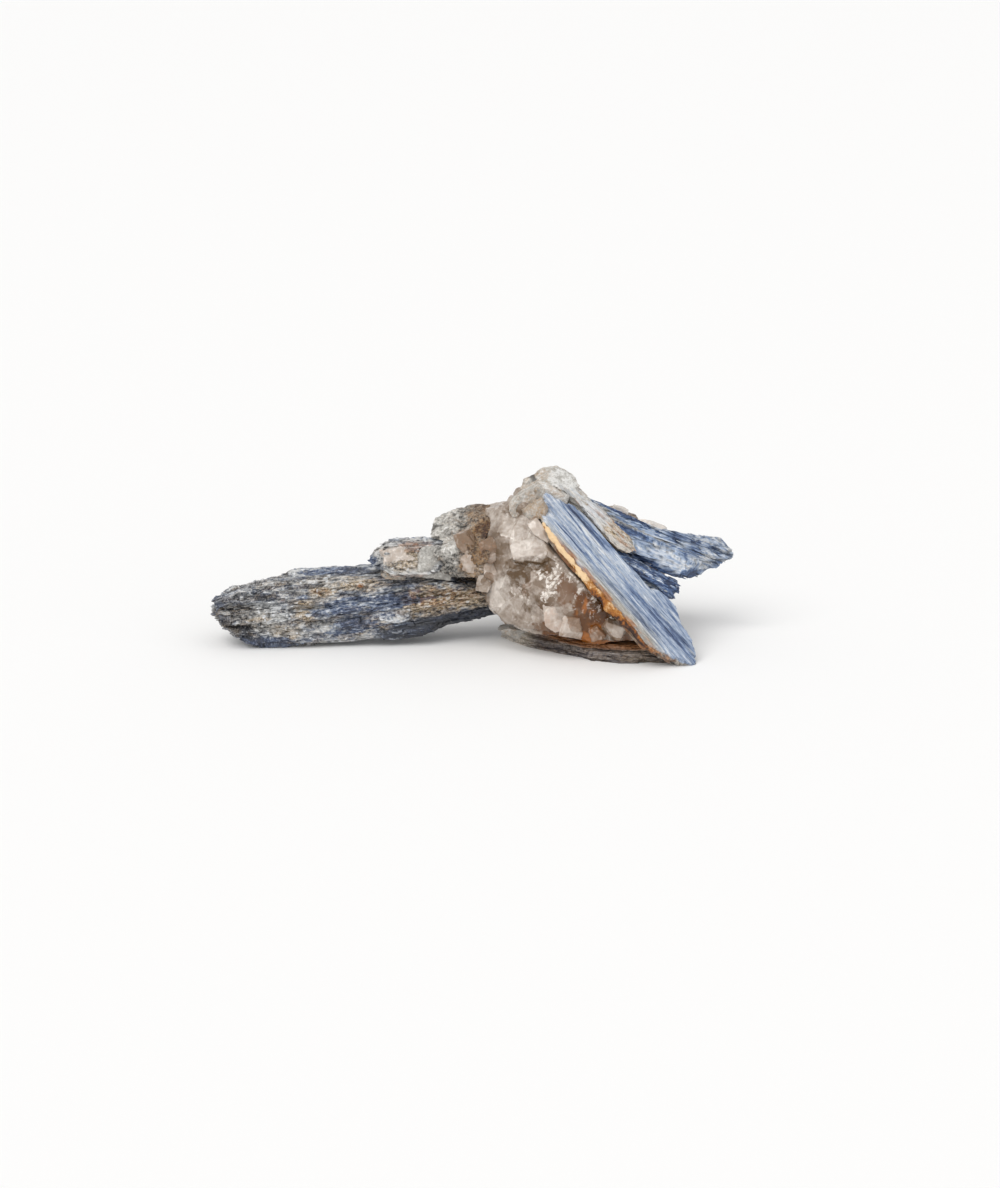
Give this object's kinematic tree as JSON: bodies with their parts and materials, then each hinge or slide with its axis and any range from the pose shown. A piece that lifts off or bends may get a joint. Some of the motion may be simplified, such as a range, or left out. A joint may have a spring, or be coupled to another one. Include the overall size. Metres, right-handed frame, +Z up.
{
  "type": "mineral specimen",
  "caption": "Cluster of flat blue kyanite blades grown through smoky quartz and mica schist, lying on the flat face of a base blade.",
  "frame": {"origin": "centre of the cluster's outline seen from above, on the surface it lies on", "axes": "+X along the length, from the free end of the long blade bundle to the broken end of the rear bundle; +Y to the back; +Z up"},
  "size_m": [0.1071, 0.0424, 0.0356],
  "materials": {
    "dark_kyanite": "weathered, silky along the blades",
    "weathered_kyanite": "weathered, silky along the blades",
    "pale_kyanite": "pearly, streaked along the blades",
    "navy_kyanite": "glassy to pearly",
    "blue_kyanite": "pearly, streaked along the blades",
    "stained_kyanite": "dull, iron stained",
    "smoky_quartz": "translucent, fractured",
    "mica_schist": "rough with fine mica glints",
    "mica_crust": "rough, silvery mica with ochre",
    "iron_stain": "earthy crust"
  },
  "bodies": {
    "root": {"long_blade_bundle": "dark_kyanite", "short_blade_bundle": "weathered_kyanite", "front_blade_sheet": "pale_kyanite", "middle_blades": "navy_kyanite", "rear_blade_bundle": "blue_kyanite", "base_blade": "stained_kyanite", "quartz_mass": "smoky_quartz", "matrix_rock": "mica_schist", "crown_seam": "mica_crust", "iron_rim": "iron_stain"}
  },
  "joints": []
}
